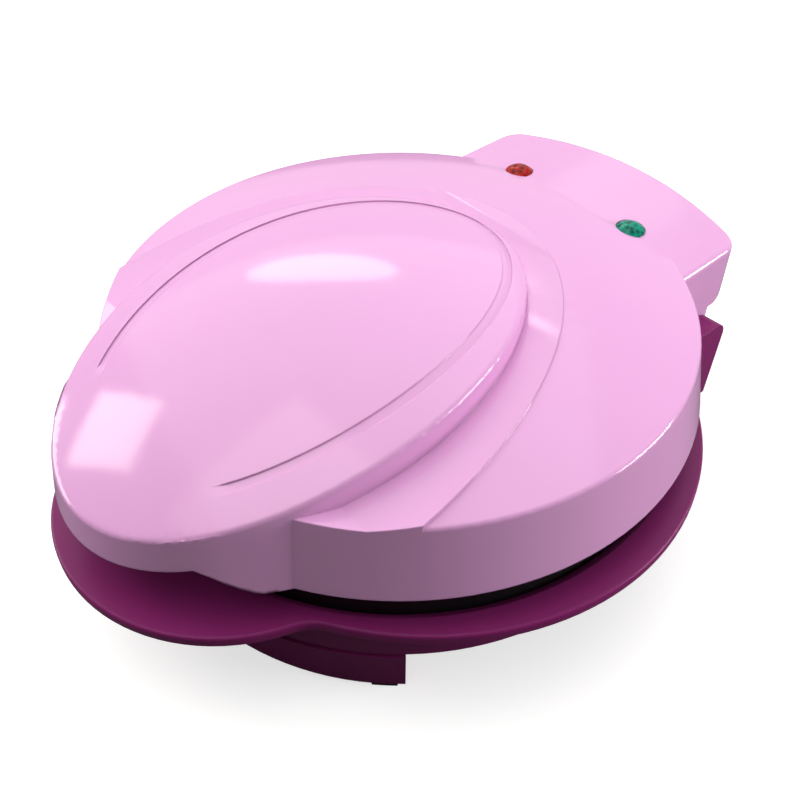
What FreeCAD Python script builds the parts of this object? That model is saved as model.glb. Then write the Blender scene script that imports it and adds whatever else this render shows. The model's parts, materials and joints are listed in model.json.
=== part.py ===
import FreeCAD, Part
import math
import os

V = FreeCAD.Vector
up = V(0, 0, 1)
across = V(1, 0, 0)
rearward = V(0, 1, 0)

# Heights, stacked from the worktop (mm)
pad_drop = 1.0             # foot pads stand below the skirts
skirt_height = 18.0
drum_height = 19.0
flange_thickness = 4.0
rim_stand = 8.5            # lower plate rim above the tray
plate_gap = 0.4            # between the two closed plate rims
rim_show = 4.1             # upper plate rim below the lid edge
lid_wall_height = 24.0     # lid edge to the corner under the shoulder round
dome_rise = 15.0
crown_rise = 4.8           # raised leaf above the top of the dome

# Round sizes
plate_radius = 93.5
plate_side_gap = 3.8       # plate rim to the inside of the lid wall
lid_wall = 2.7
lid_lean = 4.6             # wall of the lid leans in by this much on the way up
shoulder_round = 1.8
seat_gap = 0.5             # plate rim to the bore of the base
drum_wall = 3.0
drum_taper = 2.0           # drum and skirts lose this much radius on the way down

# Leaf-shaped crown and front handle of the lid
leaf_half_width = 62.6     # at the level of the lid edge
leaf_half_length = 82.8
leaf_setback = 39.4        # leaf centre in front of the plate centre
leaf_draft = 9.5           # degrees
crown_radius_along = 209.0
crown_radius_across = 227.0
crown_peak_y = -13.0
crown_edge_round = 2.0
crown_wall = 3.0
crown_side_wall = 4.2
dome_thickening = 4.5      # inside of the dome starts this far below the outside corner
band_half_width = 74.5     # oval band beside the leaf
band_half_length = 108.7
band_setback = 60.0
band_edge_round = 4.0
step_front_y = -70.0       # three points of the curve that the band follows, above the lid edge
step_front_z = 23.2
step_middle_y = -18.0
step_middle_z = 31.5
step_rear_y = 52.0
step_rear_z = 36.0
step_apron_length = 45.0   # straight run of the band in front of its first point
step_apron_rise = 1.5
groove_half_width = 46.0   # oval groove in the crown
groove_half_length = 72.0
groove_setback = 38.0
groove_width = 3.0
groove_depth = 0.9
groove_end_y = -97.0
handle_tip_z = 4.2         # handle lip above the lid edge, at its tip
handle_slope = 17.0        # degrees, underside of the handle
grip_half_width = 50.0
grip_lean = 0.25           # sides of the finger space lean in, per mm of height
grip_side_wall = 9.0
grip_rib_pitch = 22.0
grip_rib = 2.0

# Hinge tab at the rear of the lid
tab_half_width = 54.5
tab_root_y = 47.0
tab_hollow_y = 68.0
tab_reach = 119.6
tab_back_radius = 185.0
tab_corner = 9.0
tab_rise = 27.6            # tab top above the lid edge, in the middle
tab_camber = 5.0           # and lower at its sides by this much
tab_edge_round = 2.5
tab_chamfer_y = 104.0
tab_chamfer_slope = 29.0

# Tray and handle of the base
flange_side = 9.5          # tray past the drum at the sides
flange_front = 1.0         # and at the front and rear
tray_lobe_radius = 57.0
tray_lobe_setback = 69.3
tray_waist_round = 16.0
tray_skin = 2.5
tray_lip = 2.6
tray_edge_round = 1.0
dish_flare = 2.5
dish_depth = 2.0
seat_ledge = 3.0
ledge_width = 3.0
ledge_slope = 4.0
drum_foot_chamfer = 2.0
skirt_half_angle = 49.0
bottom_lip = 2.5
bottom_lip_width = 12.0

# Hinge
hinge_setback = 0.5        # hinge axis behind the plate rim
hinge_drop = 2.0           # and below the seam of the plates
pin_radius = 3.0
pin_clearance = 0.05
pin_head_radius = 5.0
pin_head = 2.5
pin_side_gap = 0.5
arm_thickness = 7.0
arm_radius = 6.6
arm_root = 14.0            # arm runs this far above the hinge axis
ear_gap = 0.7
ear_thickness = 8.0
ear_radius = 6.0
ear_foot_reach = 98.0
ear_foot_depth = 28.0
ear_front_rise = 3.0
ear_crown_length = 10.0
ear_bore_depth = 6.0

# Cooking plates
plate_wall = 3.0
rim_width = 10.0
rim_edge = 0.4             # corner taken off the outside of the rims
bowl_depth = 10.5
bowl_draft = 4.5
lower_skirt = 2.5
stud_pitch = 20.0
stud_base = 13.0
stud_top = 9.0
stud_height = 6.0
divider_width = 4.0
divider_end_gap = 1.0

# Heating elements and what they carry
element_radius = 58.0
element_tube = 3.25
element_gap = 0.05
element_opening = 24.0     # degrees left open at the rear
element_lead = 13.0
element_pin = 1.3
element_pin_length = 6.5
clamp_count = 3
clamp_width = 9.0
clamp_slack = 0.3          # room for the curve of the tube inside a straight clamp
clamp_foot = 5.0
sheet = 1.0
shield_margin = 5.0
shield_drop = 10.0
shield_thickness = 0.8
shield_hole = 8.0
shield_lip = 2.0
spacer_count = 3
spacer_circle = 40.0
spacer_turn = 60.0
spacer_radius = 3.2
thermostat_radius = 9.0
thermostat_height = 6.5
thermostat_tab_length = 27.0
thermostat_tab_width = 4.5
thermostat_tab = 1.3
fuse_radius = 2.0
fuse_length = 13.0
fuse_y = -26.0

# Screws
screw_core = 1.7
screw_clear = 1.9
screw_head_radius = 3.4
screw_head = 2.0
slot_width = 0.9
sink_radius = 3.0
boss_radius = 4.2
lid_boss_radius = 3.2
boss_inset = 3.6           # upper plate screws, in from the rim
upper_screw_length = 14.0
plate_screw_count = 4
plate_screw_turn = 45.0    # degrees from the front to the first screw
lug_circle = 74.0
lug_width = 9.0
lug_thickness = 3.0
plate_boss = 3.0
cover_screw_angle = 22.0
cover_boss = 6.0

# Bottom cover, feet, cord inlet and terminal block
cover_thickness = 2.0
cover_gap = 0.4
vent_count = 7
vent_pitch = 9.0
vent_width = 3.5
vent_length = 54.0
vent_end_round = 1.7
pad_angle = 45.0
pad_spread = 5.0           # degrees covered by one pad
pad_depth = 6.0
pad_spigot = 2.0
spigot_spread = 3.0
spigot_outer_inset = 1.5
spigot_inner_inset = 1.0
pad_boss_margin = 1.2
gland_height = 9.0         # inlet above the bottom of the drum
gland_half_angle = 10.0    # degrees either side of the middle
gland_head = 8.0           # slot above the axis of the inlet
gland_overlap = 1.3        # degrees that the flanges pass the slot
gland_flange = 1.5
gland_flange_drop = 3.0    # inner flange below the top of the slot
gland_bore = 3.3
gland_play = 0.3
block_width = 26.0
block_depth = 11.0
block_height = 8.5
block_chamfer = 1.0
block_floor = 3.0
block_wire_z = 4.5
block_y = 67.0

# Indicator lamps
lens_spacing = 52.8
lens_y = 85.0
lens_radius = 5.2
lens_dome = 2.2
lens_skirt = 7.0
lens_flange = 1.3
lens_flange_height = 1.2
lens_bore = 3.6
lens_skin = 1.0
lamp_radius = 2.8
lamp_height = 8.0
holder_thickness = 2.0
holder_margin = 8.0
holder_depth = 10.0
holder_post = 9.0
holder_post_x = 10.0
holder_post_radius = 3.6
holder_screw_length = 7.0

# Workshop allowances
overrun = 1.0              # cutters pass the face they open by this much
overreach = 15.0           # and large cutters by this much

# Levels that follow from the stack
skirt_z = pad_drop
drum_z = skirt_z + skirt_height
flange_z = drum_z + drum_height
tray_z = flange_z + flange_thickness
seam_z = tray_z + rim_stand
upper_rim_z = seam_z + plate_gap
edge_z = upper_rim_z + rim_show
dome_z = edge_z + lid_wall_height + dome_rise
crown_z = dome_z + crown_rise
tab_z = edge_z + tab_rise
ledge_z = tray_z - seat_ledge
lower_floor_z = seam_z - bowl_depth
lower_back_z = lower_floor_z - plate_wall
upper_floor_z = upper_rim_z + bowl_depth
upper_back_z = upper_floor_z + plate_wall
high = crown_z + overreach

# Radii and places that follow
lid_bore = plate_radius + plate_side_gap
lid_radius = lid_bore + lid_wall
base_bore = plate_radius + seat_gap
drum_radius = base_bore + drum_wall
drum_bore = drum_radius - drum_taper - drum_wall
bowl_radius = plate_radius - rim_width
floor_radius = bowl_radius - bowl_draft
hinge_y = plate_radius + hinge_setback
hinge_z = seam_z - hinge_drop
arm_inner_x = tab_half_width - arm_thickness
ear_x = tab_half_width + ear_gap
handle_tip_y = -leaf_setback - leaf_half_length
tray_tip_y = -tray_lobe_setback - tray_lobe_radius
middle_y = (tray_tip_y + tab_reach) / 2
shield_radius = element_radius + shield_margin
gland_z = drum_z + gland_height


def flat_face(points):
    return Part.Face(Part.makePolygon(points + [points[0]]))


def turned(section):
    face = flat_face([V(r, 0, z) for r, z in section])
    return face.revolve(V(0, 0, 0), up, 360)


# A turned section kept only between two angles, counted from the front towards +X
def turned_sector(section, start, end):
    face = flat_face([V(r, 0, z) for r, z in section])
    face.rotate(V(0, 0, 0), up, start - 90)
    return face.revolve(V(0, 0, 0), up, end - start)


def cylinder(radius, bottom, top, x=0.0, y=0.0):
    return Part.makeCylinder(radius, top - bottom, V(x, y, bottom))


def block(width, depth, bottom, top, y):
    return Part.makeBox(width, depth, top - bottom, V(-width / 2, y, bottom))


# A side view outline in (y, z), pushed from x0 to x1
def side_plate(outline, x0, x1):
    face = flat_face([V(x0, y, z) for y, z in outline])
    return face.extrude(V(x1 - x0, 0, 0))


def at_angle(radius, angle):
    turn = math.radians(angle)
    return radius * math.sin(turn), -radius * math.cos(turn)


def mirrored(shape):
    return shape.mirror(V(0, 0, 0), across)


def merge(parts):
    return parts[0].fuse(parts[1:]).removeSplitter()


def oval(half_width, half_length, y, z):
    middle = V(0, y, z)
    curve = Part.Ellipse(middle + V(0, half_length, 0), middle + V(half_width, 0, 0), middle)
    return Part.Wire([curve.toShape()])


def upright_oval(half_width, half_length, y):
    return Part.Face(oval(half_width, half_length, y, edge_z)).extrude(V(0, 0, high - edge_z))


# Oval block with drafted sides, out of which the crown and the handle are cut
def leaf(inset):
    taper = (high - edge_z) * math.tan(math.radians(leaf_draft))
    width = leaf_half_width - inset
    length = leaf_half_length - inset
    foot = oval(width, length, -leaf_setback, edge_z)
    top = oval(width - taper, length - taper, -leaf_setback, high)
    return Part.makeLoft([foot, top], True, True)


# Thick doubly curved layer whose upper face is the crown of the leaf
def crown_layer(lowered):
    peak = crown_z - lowered
    depth = peak - edge_z + overreach
    half = leaf_half_width + overreach
    drop = crown_radius_across - math.sqrt(crown_radius_across ** 2 - half ** 2)
    top = Part.Arc(V(-half, 0, peak - drop), V(0, 0, peak), V(half, 0, peak - drop))
    right = Part.LineSegment(V(half, 0, peak - drop), V(half, 0, peak - depth))
    floor = Part.LineSegment(V(half, 0, peak - depth), V(-half, 0, peak - depth))
    left = Part.LineSegment(V(-half, 0, peak - depth), V(-half, 0, peak - drop))
    section = Part.Face(Part.Wire([e.toShape() for e in (top, right, floor, left)]))
    section.translate(V(0, crown_peak_y, 0))
    pivot = V(0, crown_peak_y, crown_z - crown_radius_along)
    sweep = math.degrees(math.asin((crown_peak_y - handle_tip_y + overreach) / crown_radius_along))
    section.rotate(pivot, across, -sweep)
    return section.revolve(pivot, across, 2 * sweep)


def wall_lean(z):
    return lid_lean * (z - edge_z) / lid_wall_height


# Cone on which the outside of the lid wall lies
def wall_cone(inset):
    low = edge_z - overreach
    foot = lid_radius - inset
    return Part.makeCone(foot - wall_lean(low), foot - wall_lean(high), high - low, V(0, 0, low))


# Domed round body, turned from a leaning wall and a shallow arc
def domed(foot_radius, wall_top, peak, edge_round):
    radius = foot_radius - wall_lean(wall_top)
    rise = peak - wall_top
    curve = (radius ** 2 + rise ** 2) / (2 * rise)
    half_way = peak - curve + math.sqrt(curve ** 2 - (radius / 2) ** 2)
    corner = V(radius, 0, wall_top)
    crest = V(0, 0, peak)
    start = V(0, 0, edge_z)
    foot = V(foot_radius, 0, edge_z)
    edges = [
        Part.LineSegment(start, foot),
        Part.LineSegment(foot, corner),
        Part.Arc(corner, V(radius / 2, 0, half_way), crest),
        Part.LineSegment(crest, start),
    ]
    face = Part.Face(Part.Wire([e.toShape() for e in edges]))
    body = face.revolve(V(0, 0, 0), up, 360)
    if edge_round == 0:
        return body
    ring = [e for e in body.Edges if abs(e.BoundBox.ZMin - wall_top) < 0.01 and e.BoundBox.ZLength < 0.01]
    return body.makeFillet(edge_round, ring)


# Everything above the shallow curve that the band beside the leaf follows
def step_cut():
    reach = lid_radius + overreach
    front = V(-reach, step_front_y, edge_z + step_front_z)
    middle = V(-reach, step_middle_y, edge_z + step_middle_z)
    rear = V(-reach, step_rear_y, edge_z + step_rear_z)
    apron = front + V(0, -step_apron_length, step_apron_rise)
    edges = [
        Part.Arc(front, middle, rear).toShape(),
        Part.LineSegment(rear, V(-reach, step_rear_y, high)).toShape(),
        Part.LineSegment(V(-reach, step_rear_y, high), V(-reach, apron.y, high)).toShape(),
        Part.LineSegment(V(-reach, apron.y, high), apron).toShape(),
        Part.LineSegment(apron, front).toShape(),
    ]
    return Part.Face(Part.Wire(edges)).extrude(V(2 * reach, 0, 0))


# The dome with its oval band, level across, on which the leaf stands
def banded_dome():
    dome = domed(lid_radius, edge_z + lid_wall_height, dome_z, shoulder_round)
    above = step_cut()
    patch = upright_oval(band_half_width, band_half_length, -band_setback)
    patch = patch.common(wall_cone(0))
    band = patch.cut(above)
    rim = []
    for edge in band.Edges:
        box = edge.BoundBox
        if box.ZMin > edge_z + overrun and box.XLength > band_half_width and box.YMax < step_front_y / 2:
            rim.append(edge)
    band = band.makeFillet(band_edge_round, rim)
    return dome.cut(patch.common(above)).fuse(band)


def raised_leaf():
    body = leaf(0).common(crown_layer(0))
    crown = max(body.Faces, key=lambda face: face.CenterOfMass.z)
    return body.makeFillet(crown_edge_round, crown.Edges)


# Space for the fingers under the front of the leaf
def grip_space():
    tip_z = edge_z + handle_tip_z
    rise = math.tan(math.radians(handle_slope))
    near = handle_tip_y - overreach
    far = -leaf_setback
    low = edge_z - overreach
    outline = [
        (near, low),
        (near, tip_z + (near - handle_tip_y) * rise),
        (far, tip_z + (far - handle_tip_y) * rise),
        (far, low),
    ]
    wedge = side_plate(outline, -leaf_half_width, leaf_half_width)
    wide = grip_half_width + grip_lean * overreach
    narrow = grip_half_width - grip_lean * (dome_z - edge_z)
    sides = [V(-wide, near, low), V(wide, near, low), V(narrow, near, dome_z), V(-narrow, near, dome_z)]
    gate = flat_face(sides).extrude(V(0, far - near, 0))
    return wedge.common(gate).cut(wall_cone(0))


# Hollow of the handle, with its ribs left standing
def grip_hollow():
    pocket = leaf(crown_wall).common(crown_layer(crown_wall))
    half = grip_half_width - grip_side_wall
    pocket = pocket.common(block(2 * half, leaf_half_length, edge_z, high, handle_tip_y))
    pocket = pocket.cut(wall_cone(0))
    for side in (-1, 0, 1):
        rib = block(grip_rib, leaf_half_length, edge_z, high, handle_tip_y)
        rib.translate(V(side * grip_rib_pitch, 0, 0))
        pocket = pocket.cut(rib)
    return pocket


# Oval groove in the crown, left out at the front so that it reads as a U
def crown_groove():
    half = groove_width / 2
    outer = upright_oval(groove_half_width + half, groove_half_length + half, -groove_setback)
    inner = upright_oval(groove_half_width - half, groove_half_length - half, -groove_setback)
    band = outer.cut(inner).cut(crown_layer(groove_depth))
    return band.common(block(4 * groove_half_width, 2 * leaf_half_length, edge_z, high, groove_end_y))


def tab_roof_radius():
    return (tab_half_width ** 2 + tab_camber ** 2) / (2 * tab_camber)


def tab_height(x):
    radius = tab_roof_radius()
    return tab_z - radius + math.sqrt(radius ** 2 - x ** 2)


# Everything under the cambered roof of the tab
def under_roof(lowered):
    half = tab_half_width + overrun
    side = tab_height(half) - lowered
    low = edge_z - overrun
    left = V(-half, tab_root_y, side)
    right = V(half, tab_root_y, side)
    edges = [
        Part.Arc(left, V(0, tab_root_y, tab_z - lowered), right),
        Part.LineSegment(right, V(half, tab_root_y, low)),
        Part.LineSegment(V(half, tab_root_y, low), V(-half, tab_root_y, low)),
        Part.LineSegment(V(-half, tab_root_y, low), left),
    ]
    return Part.Face(Part.Wire([e.toShape() for e in edges])).extrude(V(0, tab_reach, 0))


def tab_body(inset, lowered, front):
    half = tab_half_width - inset
    reach = tab_reach - inset
    sag = tab_back_radius - math.sqrt(tab_back_radius ** 2 - half ** 2)
    right = V(half, reach - sag, edge_z)
    left = V(-half, reach - sag, edge_z)
    edges = [
        Part.LineSegment(V(-half, front, edge_z), V(half, front, edge_z)),
        Part.LineSegment(V(half, front, edge_z), right),
        Part.Arc(right, V(0, reach, edge_z), left),
        Part.LineSegment(left, V(-half, front, edge_z)),
    ]
    face = Part.Face(Part.Wire([e.toShape() for e in edges]))
    body = face.extrude(V(0, 0, high - edge_z))
    corners = [e for e in body.Edges if e.BoundBox.ZLength > overrun and e.BoundBox.YMin > front + overrun]
    return body.makeFillet(tab_corner - inset, corners).common(under_roof(lowered))


def hinge_tab():
    body = tab_body(0.0, 0.0, tab_root_y)
    roof = max(body.Faces, key=lambda face: face.CenterOfMass.z)
    rim = [e for e in roof.Edges if e.BoundBox.YMax > tab_root_y + overrun]
    body = body.makeFillet(tab_edge_round, rim)
    slope = math.tan(math.radians(tab_chamfer_slope))
    length = tab_reach - tab_chamfer_y + overreach
    outline = [
        (tab_chamfer_y, edge_z),
        (tab_chamfer_y + length, edge_z + length * slope),
        (tab_chamfer_y + length, edge_z - overrun),
        (tab_chamfer_y, edge_z - overrun),
    ]
    return body.cut(side_plate(outline, -tab_half_width - overrun, tab_half_width + overrun))


# Arm that hangs from the tab and turns on the hinge pin
def hinge_arm():
    tube = Part.makeCylinder(arm_radius, arm_thickness, V(arm_inner_x, hinge_y, hinge_z), across)
    top = hinge_z + arm_root
    stem = side_plate(
        [
            (hinge_y - arm_radius, hinge_z),
            (hinge_y - arm_radius, top),
            (hinge_y + arm_radius, top),
            (hinge_y + arm_radius, hinge_z),
        ],
        arm_inner_x,
        tab_half_width,
    )
    bore = Part.makeCylinder(pin_radius + pin_clearance, 3 * arm_thickness,
                             V(arm_inner_x - arm_thickness, hinge_y, hinge_z), across)
    return tube.fuse(stem), bore


def screw_ring(radius, count, first):
    return [at_angle(radius, first + 360.0 * i / count) for i in range(count)]


def upper_screw_places():
    return screw_ring(plate_radius - boss_inset, plate_screw_count, plate_screw_turn)


def lower_screw_places():
    return screw_ring(lug_circle, plate_screw_count, plate_screw_turn)


def lamp_places():
    return [(-lens_spacing / 2, lens_y), (lens_spacing / 2, lens_y)]


def holder_posts():
    return [(-holder_post_x, lens_y), (holder_post_x, lens_y)]


def lid_shell():
    outer = banded_dome().fuse([raised_leaf(), hinge_tab()])
    skin = lens_z() - crown_wall
    hollow = domed(lid_bore, edge_z + lid_wall_height - dome_thickening, edge_z + step_middle_z, 0)
    under_leaf = leaf(crown_side_wall).common(crown_layer(crown_wall))
    under_leaf = under_leaf.common(wall_cone(lid_wall))
    under_tab = tab_body(lid_wall, crown_wall, tab_hollow_y)
    body = outer.cut([hollow, under_leaf, under_tab, grip_space(), grip_hollow()])
    body = body.cut(crown_groove())
    arm, bore = hinge_arm()
    bosses = []
    holes = [bore, mirrored(bore)]
    for x, y in upper_screw_places():
        bosses.append(cylinder(lid_boss_radius, edge_z, edge_z + lid_wall_height - overrun, x, y))
        holes.append(cylinder(screw_core, edge_z - overrun, upper_rim_z + upper_screw_length, x, y))
    low = lamp_floor()
    for x, y in holder_posts():
        bosses.append(cylinder(holder_post_radius, low, tab_z - overrun, x, y))
        holes.append(cylinder(screw_core, low - overrun, low + holder_screw_length, x, y))
    body = body.fuse([arm, mirrored(arm)] + bosses)
    for x, y in lamp_places():
        holes.append(cylinder(lens_radius, skin - overrun, high, x, y))
        holes.append(cylinder(lens_radius + lens_flange, skin - crown_wall, skin, x, y))
    return body.cut(holes).removeSplitter()


# Level of the roof of the tab at the lenses
def lens_z():
    return tab_height(lens_spacing / 2)


def indicator_lens(x, y):
    level = lens_z()
    skin = level - crown_wall
    cap = (lens_radius ** 2 + lens_dome ** 2) / (2 * lens_dome)
    ball = Part.makeSphere(cap, V(x, y, level + lens_dome - cap))
    dome = ball.common(cylinder(lens_radius, level, high, x, y))
    barrel = cylinder(lens_radius, level - lens_skirt, level, x, y)
    collar = cylinder(lens_radius + lens_flange, skin - lens_flange_height, skin, x, y)
    bore = cylinder(lens_bore, level - lens_skirt, level - lens_skin, x, y)
    return merge([barrel, dome, collar]).cut(bore)


def lamp_floor():
    return lens_z() - crown_wall - holder_post


def neon_lamp(x, y):
    base = lamp_floor()
    tube = cylinder(lamp_radius, base, base + lamp_height - lamp_radius, x, y)
    tip = Part.makeSphere(lamp_radius, V(x, y, base + lamp_height - lamp_radius))
    return merge([tube, tip])


def lamp_holder():
    top = lamp_floor()
    width = lens_spacing + 2 * holder_margin
    plate = block(width, holder_depth, top - holder_thickness, top, lens_y - holder_depth / 2)
    ends = [e for e in plate.Edges if e.BoundBox.ZLength > holder_thickness - 0.01]
    plate = plate.makeFillet(holder_depth / 3, ends)
    low = top - holder_thickness - overrun
    holes = [cylinder(screw_clear, low, top + overrun, x, y) for x, y in holder_posts()]
    return plate.cut(holes)


# Pan head screw that points up, with the underside of its head at the given height
def pan_screw(x, y, seat, length):
    head = cylinder(screw_head_radius, seat - screw_head, seat, x, y)
    rim = [e for e in head.Edges if e.BoundBox.ZMax < seat - screw_head + 0.01]
    head = head.makeFillet(screw_head / 2, rim)
    slot = Part.makeBox(2 * screw_head_radius, slot_width, screw_head / 2,
                        V(x - screw_head_radius, y - slot_width / 2, seat - screw_head))
    return merge([head, cylinder(screw_core, seat, seat + length, x, y)]).cut(slot)


def sunk_screw(x, y):
    head_depth = sink_radius - screw_core
    head = Part.makeCone(sink_radius, screw_core, head_depth, V(x, y, upper_rim_z))
    shank = cylinder(screw_core, upper_rim_z + head_depth, upper_rim_z + upper_screw_length, x, y)
    slot = Part.makeBox(2 * sink_radius, slot_width, head_depth / 2,
                        V(x - sink_radius, y - slot_width / 2, upper_rim_z))
    return merge([head, shank]).cut(slot)


# Square studs inside the round floor, and the cross that parts the waffle into quarters
def waffle_studs(floor, direction):
    tip = floor + direction * stud_height
    stud_limit = floor_radius - stud_base / 2
    count = int(stud_limit / stud_pitch) + 1
    parts = []
    for i in range(-count, count):
        for j in range(-count, count):
            x = (i + 0.5) * stud_pitch
            y = (j + 0.5) * stud_pitch
            if math.hypot(x, y) > stud_limit:
                continue
            low = square_wire(x, y, stud_base, floor)
            top = square_wire(x, y, stud_top, tip)
            parts.append(Part.makeLoft([low, top], True, True))
    bottom = min(floor, tip)
    ridge = block(2 * floor_radius, divider_width, bottom, bottom + stud_height, -divider_width / 2)
    cross = ridge.copy()
    cross.rotate(V(0, 0, 0), up, 90)
    inside = cylinder(floor_radius - divider_end_gap, bottom - overrun, bottom + stud_height + overrun)
    parts.append(ridge.fuse(cross).common(inside).removeSplitter())
    return parts


def square_wire(x, y, size, z):
    half = size / 2
    corners = [V(x + half * i, y + half * j, z) for i, j in ((-1, -1), (1, -1), (1, 1), (-1, 1))]
    return Part.makePolygon(corners + [corners[0]])


def upper_cooking_plate():
    rim_back = edge_z
    wall_out = bowl_radius + plate_wall
    pan = turned([
        (0, upper_back_z),
        (0, upper_floor_z),
        (floor_radius, upper_floor_z),
        (bowl_radius, upper_rim_z),
        (plate_radius - rim_edge, upper_rim_z),
        (plate_radius, upper_rim_z + rim_edge),
        (plate_radius, rim_back),
        (wall_out, rim_back),
        (floor_radius + plate_wall, upper_back_z),
    ])
    pan = pan.fuse(waffle_studs(upper_floor_z, -1))
    holes = []
    head_depth = sink_radius - screw_core
    for x, y in upper_screw_places():
        holes.append(cylinder(screw_clear, upper_rim_z - overrun, rim_back + overrun, x, y))
        holes.append(Part.makeCone(sink_radius, screw_core, head_depth, V(x, y, upper_rim_z)))
    return pan.cut(holes).removeSplitter()


def lower_cooking_plate():
    wall_out = bowl_radius + plate_wall
    rim_back = seam_z - plate_wall
    pan = turned([
        (0, lower_back_z),
        (0, lower_floor_z),
        (floor_radius, lower_floor_z),
        (bowl_radius, seam_z),
        (plate_radius - rim_edge, seam_z),
        (plate_radius, seam_z - rim_edge),
        (plate_radius, ledge_z),
        (plate_radius - lower_skirt, ledge_z),
        (plate_radius - lower_skirt, rim_back),
        (wall_out, rim_back),
        (floor_radius + plate_wall, lower_back_z),
    ])
    bosses = []
    holes = []
    low = lower_back_z - plate_boss
    for x, y in lower_screw_places():
        bosses.append(cylinder(boss_radius, low, lower_back_z, x, y))
        holes.append(cylinder(screw_core, low - overrun, lower_back_z, x, y))
    pan = pan.fuse(waffle_studs(lower_floor_z, 1) + bosses)
    return pan.cut(holes).removeSplitter()


# Ring of heater tube, open at the rear, with its two cold ends turned away from the plate
def heating_element(back, direction):
    level = back + direction * (element_tube + element_gap)
    start = element_opening / 2
    ring = Part.makeTorus(element_radius, element_tube, V(0, 0, level), up, 0, 360, 360 - element_opening)
    ring.rotate(V(0, 0, 0), up, 90 + start)
    parts = [ring]
    for side in (-1, 1):
        x, y = at_angle(element_radius, 180.0 + side * start)
        lead = Part.makeCylinder(element_tube, element_lead, V(x, y, level), rearward)
        end = V(x, y + element_lead, level)
        pin = Part.makeCylinder(element_pin, element_pin_length, end, rearward)
        elbow = Part.makeSphere(element_tube, V(x, y, level))
        parts += [elbow, lead, pin]
    return merge(parts)


# Strip of sheet bent over something round: two feet on the plate, legs and a bridge
def strap(half_gap, depth, foot, width):
    outer = half_gap + sheet
    outline = [
        V(-half_gap - foot, 0, 0), V(-half_gap, 0, 0), V(-half_gap, 0, -depth),
        V(half_gap, 0, -depth), V(half_gap, 0, 0), V(half_gap + foot, 0, 0),
        V(half_gap + foot, 0, -sheet), V(outer, 0, -sheet), V(outer, 0, -depth - sheet),
        V(-outer, 0, -depth - sheet), V(-outer, 0, -sheet), V(-half_gap - foot, 0, -sheet),
    ]
    body = flat_face(outline).extrude(V(0, width, 0))
    body.translate(V(0, -width / 2, 0))
    return body


def element_clamps(back, direction):
    clamps = []
    for i in range(clamp_count):
        angle = 360.0 * i / clamp_count
        clamp = strap(element_tube + clamp_slack, 2 * (element_tube + element_gap), clamp_foot, clamp_width)
        if direction > 0:
            clamp.rotate(V(0, 0, 0), rearward, 180)
        x, y = at_angle(element_radius, angle)
        clamp.rotate(V(0, 0, 0), up, angle - 90)
        clamp.translate(V(x, y, back))
        clamps.append(clamp)
    return Part.makeCompound(clamps)


def spacer_places():
    return screw_ring(spacer_circle, spacer_count, spacer_turn)


# Shallow sheet pan on spacers behind the element
def heat_shield(back, direction):
    near = back + direction * shield_drop
    far = near + direction * shield_thickness
    lip = near - direction * shield_lip
    inner = shield_radius - shield_thickness
    pan = turned([
        (shield_hole, near), (inner, near), (inner, lip),
        (shield_radius, lip), (shield_radius, far), (shield_hole, far),
    ])
    low = min(near, far) - overrun
    top = max(near, far) + overrun
    holes = [cylinder(screw_core, low, top, x, y) for x, y in spacer_places()]
    return pan.cut(holes)


def shield_spacers(back, direction):
    low = min(back, back + direction * shield_drop)
    tubes = []
    for x, y in spacer_places():
        tube = cylinder(spacer_radius, low, low + shield_drop, x, y)
        tubes.append(tube.cut(cylinder(screw_core, low, low + shield_drop, x, y)))
    return Part.makeCompound(tubes)


# Screws through the shield and its spacers, stopping at the back of the plate
def shield_screws(back, direction):
    screws = []
    length = shield_drop + shield_thickness
    for x, y in spacer_places():
        screw = pan_screw(0, 0, 0, length)
        if direction > 0:
            screw.rotate(V(0, 0, 0), across, 180)
        screw.translate(V(x, y, back + direction * length))
        screws.append(screw)
    return Part.makeCompound(screws)


def thermostat():
    can = cylinder(thermostat_radius, lower_back_z - thermostat_height, lower_back_z)
    middle = lower_back_z - thermostat_height / 2
    tabs = block(thermostat_tab_length, thermostat_tab_width, middle - thermostat_tab, middle,
                 -thermostat_tab_width / 2)
    tabs.rotate(V(0, 0, 0), up, 90)
    return merge([can, tabs])


def thermostat_clip():
    clip = strap(thermostat_radius, thermostat_height, clamp_foot, clamp_width)
    clip.translate(V(0, 0, lower_back_z))
    return clip


def fuse_level():
    return lower_back_z - fuse_radius - element_gap


def thermal_fuse():
    start = V(-fuse_length / 2, fuse_y, fuse_level())
    body = Part.makeCylinder(fuse_radius, fuse_length, start, across)
    lead = Part.makeCylinder(fuse_radius / 4, 2 * fuse_length, start - V(fuse_length / 2, 0, 0), across)
    return merge([body, lead])


def fuse_clip():
    clip = strap(fuse_radius + element_gap, 2 * (fuse_radius + element_gap), clamp_foot, fuse_length / 2)
    clip.rotate(V(0, 0, 0), up, 90)
    clip.translate(V(0, fuse_y, lower_back_z))
    return clip


# Oval tray with the rounded handle in front
def tray_outline(inset, bottom, top):
    side = drum_radius + flange_side - inset
    front = drum_radius + flange_front - inset
    oval = Part.Ellipse(V(side, 0, bottom), V(0, front, bottom), V(0, 0, bottom))
    tray = Part.Face(Part.Wire([oval.toShape()])).extrude(V(0, 0, top - bottom))
    lobe = cylinder(tray_lobe_radius - inset, bottom, top, 0, -tray_lobe_setback)
    body = tray.fuse(lobe).removeSplitter()
    waist = []
    for edge in body.Edges:
        box = edge.BoundBox
        if box.ZLength > top - bottom - 0.01 and abs(box.XMin) > overreach and box.YMax < -tray_lobe_setback:
            waist.append(edge)
    return body.makeFillet(tray_waist_round, waist)


def drum_wall_section(bottom, top, outer_bottom, outer_top):
    return [
        (outer_bottom - drum_wall, bottom), (outer_bottom, bottom),
        (outer_top, top), (outer_top - drum_wall, top),
    ]


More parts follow.
